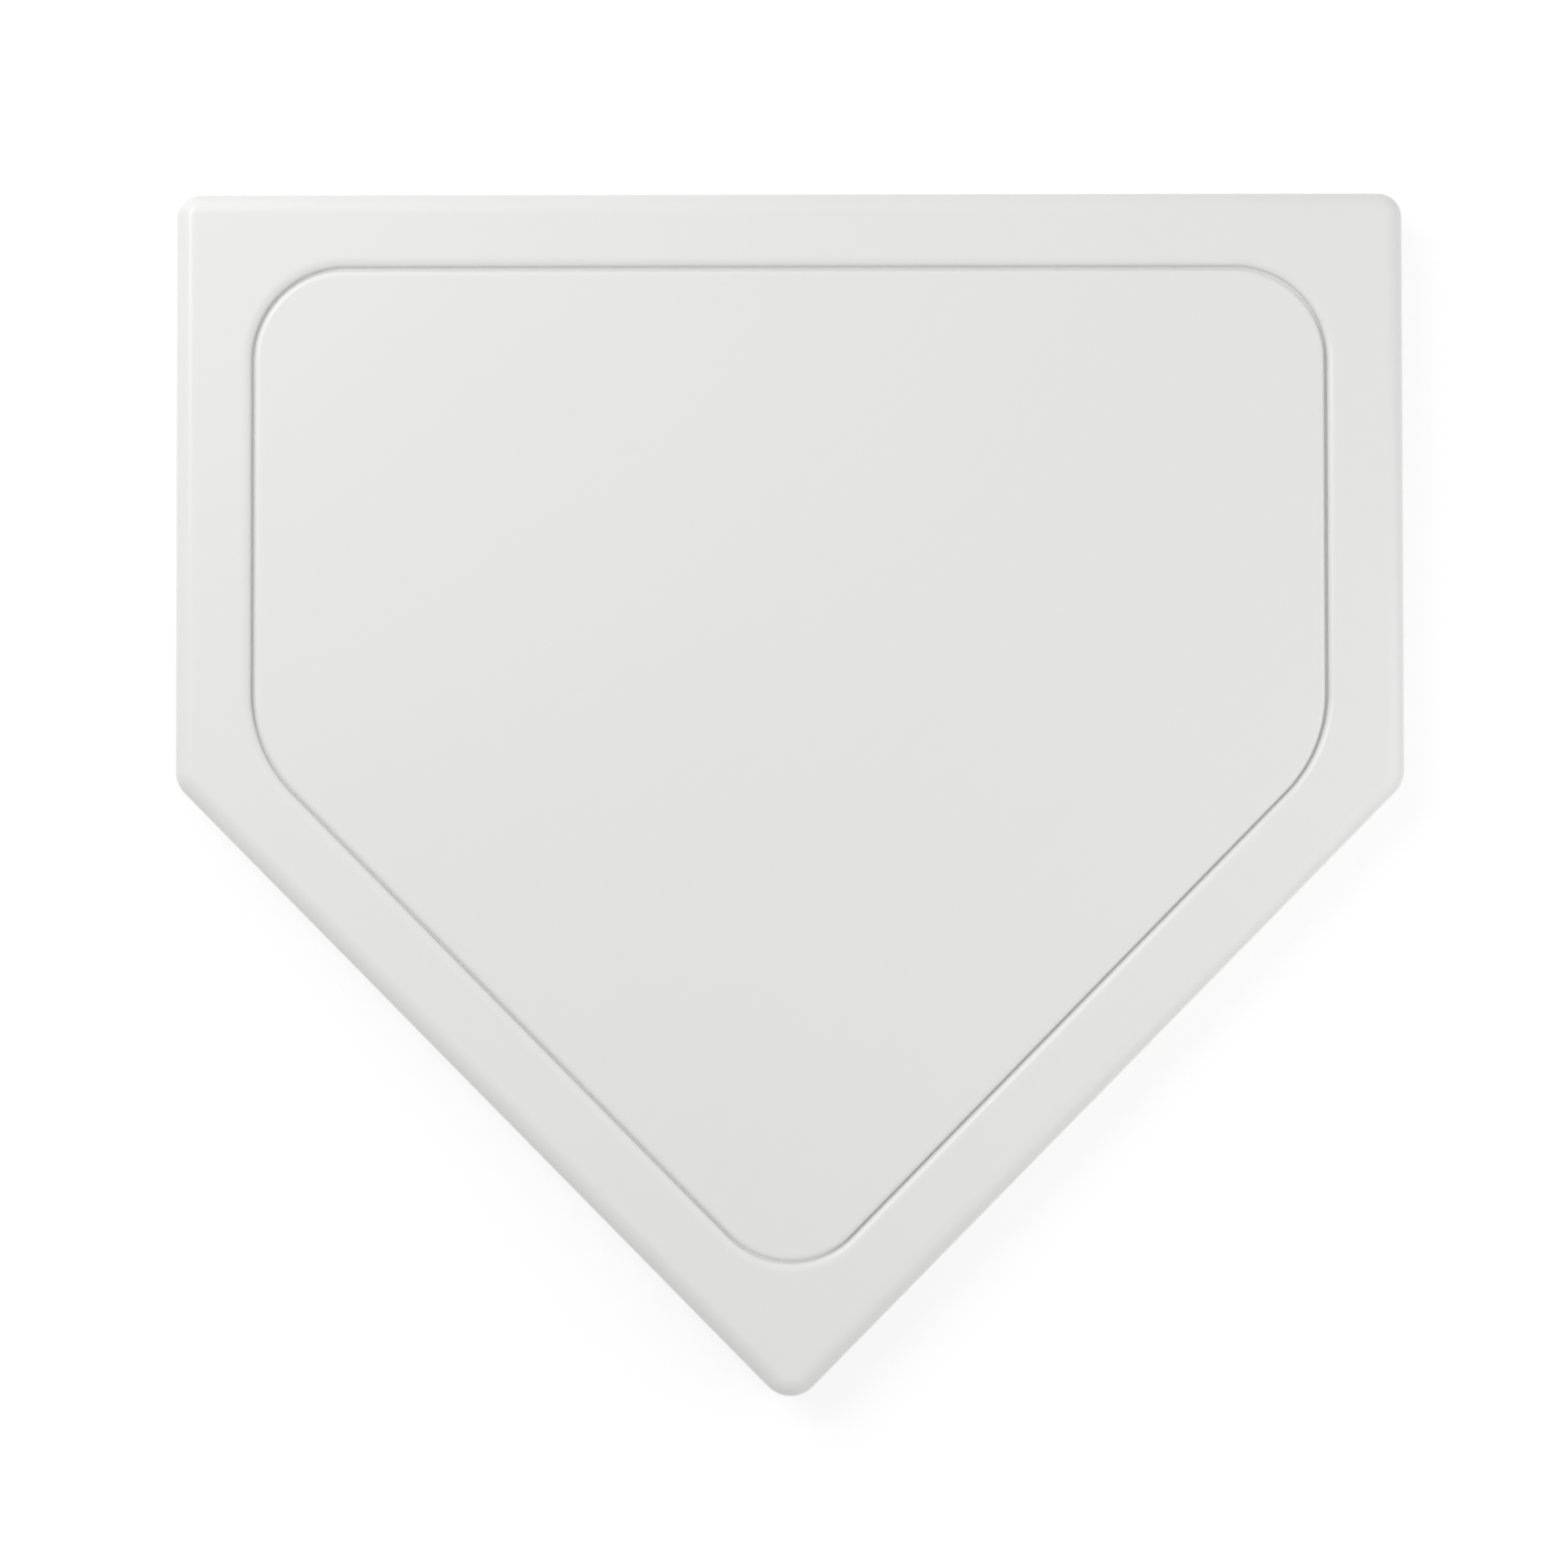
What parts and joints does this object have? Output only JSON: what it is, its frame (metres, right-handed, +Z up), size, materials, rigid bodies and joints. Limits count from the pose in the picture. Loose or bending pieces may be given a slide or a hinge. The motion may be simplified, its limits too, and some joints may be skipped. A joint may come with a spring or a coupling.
{
  "type": "baseball home plate",
  "caption": "Five-sided white rubber home plate: a moulded rim cover over a plywood core, a flush top panel, and threaded sockets underneath for ground spikes.",
  "frame": {"origin": "middle of the plate's outline box, on the ground under it", "axes": "+Z up out of the top panel, +Y from the apex to the front edge, +X along the front edge to the right"},
  "size_m": [0.4318, 0.4224, 0.0254],
  "materials": {
    "rim_rubber": "matte white moulded rubber",
    "panel_rubber": "matte white rubber sheet",
    "plywood": "sealed exterior plywood",
    "zinc_steel": "bright zinc-plated steel"
  },
  "bodies": {
    "root": {"rim_cover": "rim_rubber", "top_panel": "panel_rubber", "core_board": "plywood", "cover_screw_front_1": "zinc_steel", "cover_screw_front_2": "zinc_steel", "cover_screw_front_3": "zinc_steel", "cover_screw_left_side": "zinc_steel", "cover_screw_right_side": "zinc_steel", "cover_screw_left_slope_1": "zinc_steel", "cover_screw_left_slope_2": "zinc_steel", "cover_screw_right_slope_1": "zinc_steel", "cover_screw_right_slope_2": "zinc_steel", "cover_washer_front_1": "zinc_steel", "cover_washer_front_2": "zinc_steel", "cover_washer_front_3": "zinc_steel", "cover_washer_left_side": "zinc_steel", "cover_washer_right_side": "zinc_steel", "cover_washer_left_slope_1": "zinc_steel", "cover_washer_left_slope_2": "zinc_steel", "cover_washer_right_slope_1": "zinc_steel", "cover_washer_right_slope_2": "zinc_steel", "spike_socket_front_left": "zinc_steel", "spike_socket_front_right": "zinc_steel", "spike_socket_left_shoulder": "zinc_steel", "spike_socket_right_shoulder": "zinc_steel", "spike_socket_apex": "zinc_steel"}
  },
  "joints": []
}
